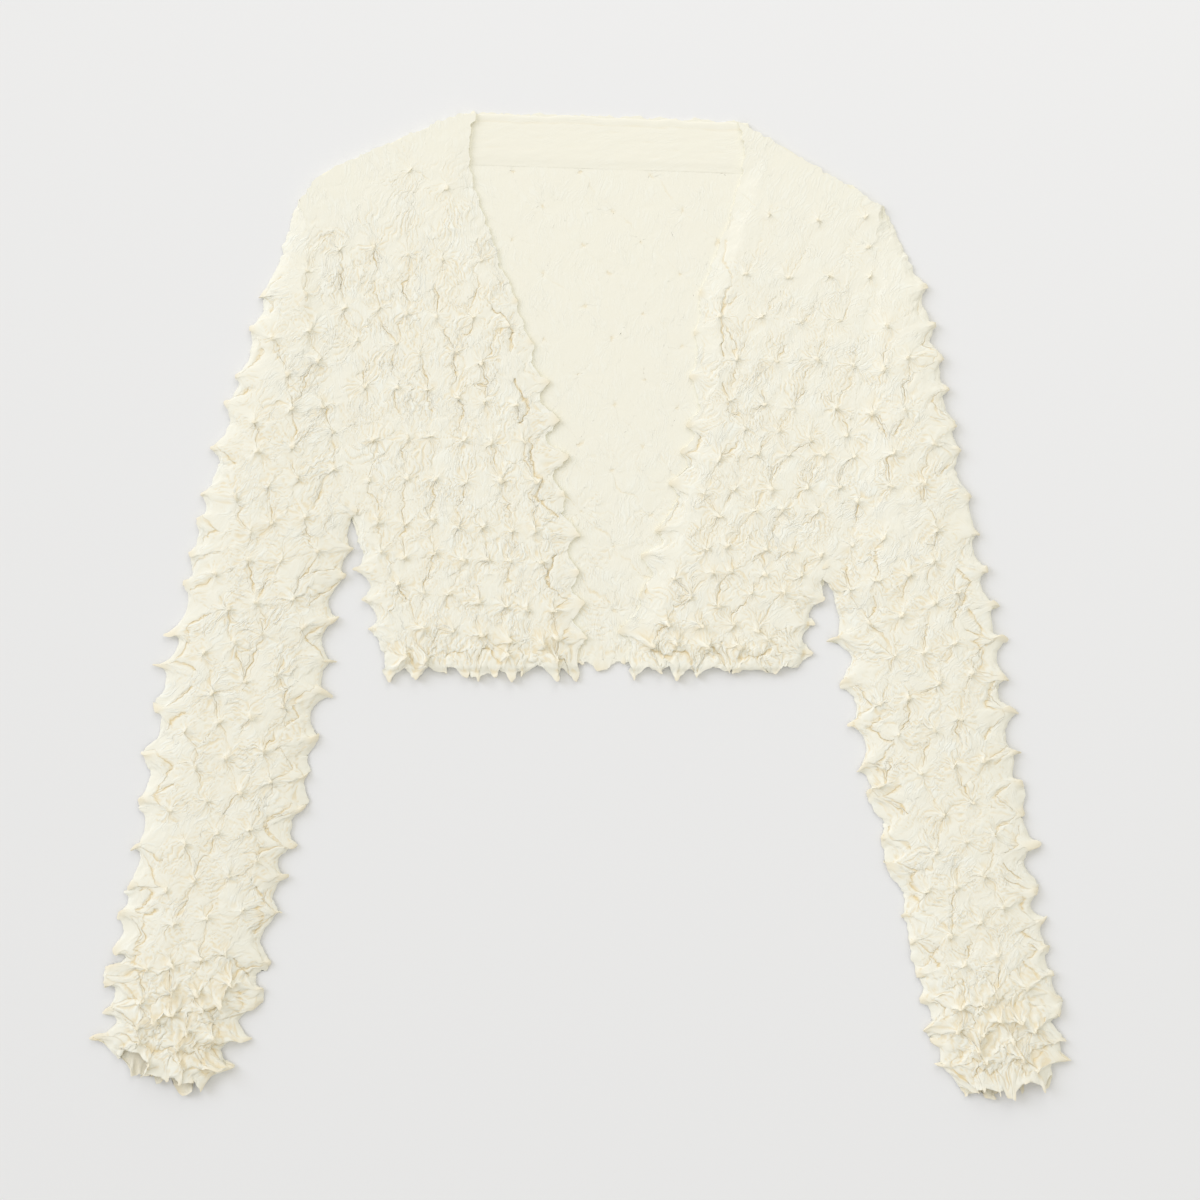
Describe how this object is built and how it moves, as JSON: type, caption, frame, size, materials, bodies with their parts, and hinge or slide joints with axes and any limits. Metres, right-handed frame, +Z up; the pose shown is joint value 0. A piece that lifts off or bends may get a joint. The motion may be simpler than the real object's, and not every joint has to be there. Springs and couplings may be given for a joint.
{
  "type": "cropped cardigan",
  "caption": "Cropped open-front cardigan with long sleeves in pale cream cloth pleated into small thorns, laid flat with its front up.",
  "frame": {"origin": "centre of the garment's bounding box, on the surface it lies on", "axes": "+X to the right of the garment as seen from above, +Y from the hem towards the back neck, +Z up from the surface"},
  "size_m": [0.6144, 0.6378, 0.0173],
  "materials": {
    "back_cloth": "matt cream crepe, inner face of the pleated back",
    "band_cloth": "matt cream crepe, smooth single layer",
    "front_cloth": "matt cream crepe, finely pleated between thorns",
    "sleeve_cloth": "matt cream crepe, finely pleated between thorns"
  },
  "bodies": {
    "root": {"back": "back_cloth", "back_neck_band": "band_cloth", "front_left": "front_cloth", "front_right": "front_cloth", "sleeve_left": "sleeve_cloth", "sleeve_right": "sleeve_cloth"}
  },
  "joints": []
}
